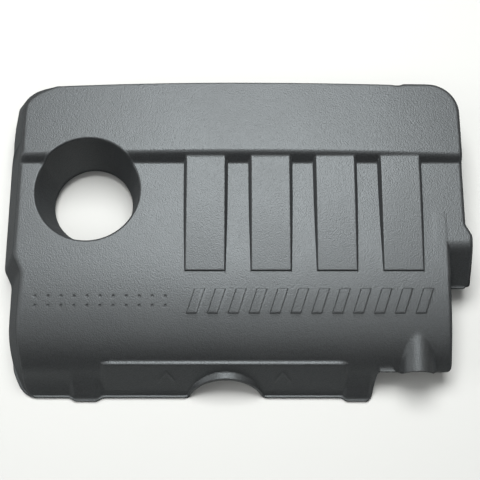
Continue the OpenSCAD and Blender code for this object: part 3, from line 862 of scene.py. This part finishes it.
def mould_grain():
    """Fine pebbled grain of a spark-eroded mould: height, and a mask of its hollows, where painted shade goes.
    """
    tree, gin, gout = group("mould_grain", {"Size": 0.0011}, ("Height", "Hollow Shade"))
    place = tree.nodes.new("ShaderNodeTexCoord").outputs["Object"]
    scale = math_node(tree, "DIVIDE", 1.0, gin.outputs["Size"])
    cells = tree.nodes.new("ShaderNodeTexVoronoi")
    cells.feature = "SMOOTH_F1"
    for label, value in (("Vector", place), ("Scale", scale), ("Smoothness", 0.6)):
        feed(tree, cells.inputs[label], value)
    mottle = noise(tree, place, math_node(tree, "MULTIPLY", scale, 0.7), 3.0, 0.5)
    dome = math_node(tree, "SUBTRACT", 1.0, cells.outputs["Distance"])
    high = math_node(tree, "ADD", math_node(tree, "MULTIPLY", dome, 0.6),
                     math_node(tree, "MULTIPLY", mottle, 0.55))
    # mask of the low parts of the grain, which carries painted shade into the colour
    hollow_shade_mask = math_node(tree, "MULTIPLY", math_node(tree, "SUBTRACT", 0.78, high), 3.0, True)
    feed(tree, gout.inputs["Height"], high)
    feed(tree, gout.inputs["Hollow Shade"], hollow_shade_mask)
    return tree


def dust_film():
    """Dust and handling marks: more on faces that look up, in soft patches."""
    tree, gin, gout = group("dust_film", {"Amount": 0.3}, ("Mask", "Patches"))
    place = tree.nodes.new("ShaderNodeTexCoord").outputs["Object"]
    split = tree.nodes.new("ShaderNodeSeparateXYZ")
    feed(tree, split.inputs[0], tree.nodes.new("ShaderNodeNewGeometry").outputs["Normal"])
    up = math_node(tree, "POWER", math_node(tree, "MAXIMUM", split.outputs["Z"], 0.0), 3.0)
    broad = noise(tree, place, 9.0, 4.0, 0.6)
    small = noise(tree, place, 160.0, 3.0, 0.7)
    patch = math_node(tree, "ADD", math_node(tree, "MULTIPLY", broad, 0.7),
                      math_node(tree, "MULTIPLY", small, 0.3))
    mask = math_node(tree, "MULTIPLY", math_node(tree, "MULTIPLY", up, patch), gin.outputs["Amount"], True)
    feed(tree, gout.inputs["Patches"], patch)
    feed(tree, gout.inputs["Mask"], mask)
    return tree


GRAIN, DUST = mould_grain(), dust_film()


def place_group(tree, which, values):
    n = tree.nodes.new("ShaderNodeGroup")
    n.node_tree = which
    for label, value in values.items():
        n.inputs[label].default_value = value
    return n


def blend_colour(tree, factor, a, b):
    n = tree.nodes.new("ShaderNodeMix")
    n.data_type = "RGBA"
    feed(tree, n.inputs["Factor"], factor)
    for label, value in (("A", a), ("B", b)):
        pin = [i for i in n.inputs if i.name == label and i.type == "RGBA"][0]
        feed(tree, pin, (*value, 1) if isinstance(value, tuple) else value)
    return [o for o in n.outputs if o.type == "RGBA"][0]


def plastic(name, base, hollow_shade, dusty, rough, grain_size, grain_depth, dust):
    """A grained surface: its colour, the darker colour of the painted shade in its hollows, and the colour of
    the dust on it.
    """
    mat = bpy.data.materials.new(name)
    mat.use_nodes = True
    tree = mat.node_tree
    bsdf = tree.nodes["Principled BSDF"]
    bsdf.inputs["IOR"].default_value = 1.5
    bsdf.inputs["Specular Tint"].default_value = (0.89, 0.97, 1.0, 1)
    grain = place_group(tree, GRAIN, {"Size": grain_size})
    film = place_group(tree, DUST, {"Amount": dust})
    # painted shade: the grain's hollows take the darker colour
    colour = blend_colour(tree, grain.outputs["Hollow Shade"], base, hollow_shade)
    colour = blend_colour(tree, film.outputs["Mask"], colour, dusty)
    feed(tree, bsdf.inputs["Base Color"], colour)
    gloss = math_node(tree, "ADD", math_node(tree, "MULTIPLY", film.outputs["Patches"], 0.16), rough - 0.08)
    # a grained skin hides its own low reflections
    graze = tree.nodes.new("ShaderNodeLayerWeight")
    graze.inputs["Blend"].default_value = 0.5
    steep = tree.nodes.new("ShaderNodeMapRange")
    for label, value in (("Value", graze.outputs["Facing"]), ("From Min", 0.22), ("From Max", 0.62)):
        feed(tree, steep.inputs[label], value)
    feed(tree, bsdf.inputs["Roughness"], math_node(tree, "MAXIMUM", gloss, steep.outputs["Result"]))
    bump = tree.nodes.new("ShaderNodeBump")
    for label, value in (("Strength", 0.8), ("Distance", grain_depth), ("Height", grain.outputs["Height"])):
        feed(tree, bump.inputs[label], value)
    feed(tree, bsdf.inputs["Normal"], bump.outputs["Normal"])
    return mat


# the second colour of each material is the painted shade in the hollows of its grain
moulded = plastic("charcoal_moulding", base=(0.021, 0.0225, 0.0235), hollow_shade=(0.012, 0.0125, 0.013),
                  dusty=(0.09, 0.09, 0.086), rough=0.43, grain_size=0.0013, grain_depth=0.00036, dust=0.25)
inner_side = plastic("charcoal_moulding_inside", base=(0.04, 0.041, 0.043), hollow_shade=(0.026, 0.027, 0.028),
                     dusty=(0.09, 0.09, 0.085), rough=0.58, grain_size=0.0016, grain_depth=0.0001, dust=0.1)
rubber = plastic("grommet_rubber", base=(0.02, 0.02, 0.021), hollow_shade=(0.012, 0.012, 0.012),
                 dusty=(0.06, 0.06, 0.058), rough=0.7, grain_size=0.0007, grain_depth=0.00005, dust=0.15)
shell.data.materials.append(moulded)
for piece in (webs, towers):
    piece.data.materials.append(inner_side)
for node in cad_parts.values():
    if node.name.startswith("grommet"):
        node.data.materials.clear()
        node.data.materials.append(rubber)


# ---- floor, lights and camera, in metres ----
FLOOR_HALF = 4.0
floor_mesh = bpy.data.meshes.new("paper_floor")
floor_mesh.from_pydata([(x * FLOOR_HALF, y * FLOOR_HALF, 0) for x, y in ((-1, -1), (1, -1), (1, 1), (-1, 1))],
                       [], [(0, 1, 2, 3)])
floor = bpy.data.objects.new("paper_floor", floor_mesh)
floor.location.z = -0.0004
bpy.context.collection.objects.link(floor)
paper = bpy.data.materials.new("white_paper")
paper.use_nodes = True
bsdf = paper.node_tree.nodes["Principled BSDF"]
bsdf.inputs["Base Color"].default_value = (0.46, 0.465, 0.45, 1)
bsdf.inputs["Roughness"].default_value = 0.9
floor_mesh.materials.append(paper)

world = bpy.data.worlds.new("studio")
bpy.context.scene.world = world
world.use_nodes = True
sky = world.node_tree.nodes["Background"]
sky.inputs["Color"].default_value = (0.95, 0.97, 1.0, 1)
sky.inputs["Strength"].default_value = 0.06


def lamp(name, place, aim, size, power):
    data = bpy.data.lights.new(name, "AREA")
    data.shape = "RECTANGLE"
    data.size, data.size_y = size
    data.energy = power
    ob = bpy.data.objects.new(name, data)
    ob.location = place
    ob.rotation_euler = (Vector(aim) - Vector(place)).to_track_quat("-Z", "Y").to_euler()
    bpy.context.collection.objects.link(ob)


lamp("window_light", place=(0.02, 0.6, 1.6), aim=(0, 0.06, 0.07), size=(0.95, 0.95), power=52)
lamp("room_light", place=(-0.1, -0.1, 2.1), aim=(0, -0.05, 0), size=(1.8, 1.4), power=12)
lamp("front_light", place=(0.1, -0.75, 1.5), aim=(0, -0.1, 0.05), size=(1.2, 0.5), power=4.5)
lamp("left_light", place=(-1.4, -0.15, 0.9), aim=(0, 0, 0.04), size=(0.8, 1.0), power=10)

camera = bpy.data.cameras.new("camera")
camera.lens = 77.25
camera.sensor_width = 36
camera.shift_y = -2 / 480
view = bpy.data.objects.new("camera", camera)
view.location = (0.0075, -0.3558, 1.1702)
view.rotation_euler = (math.radians(17.5), 0, 0)
bpy.context.collection.objects.link(view)
bpy.context.scene.camera = view
bpy.context.scene.view_settings.view_transform = "Standard"
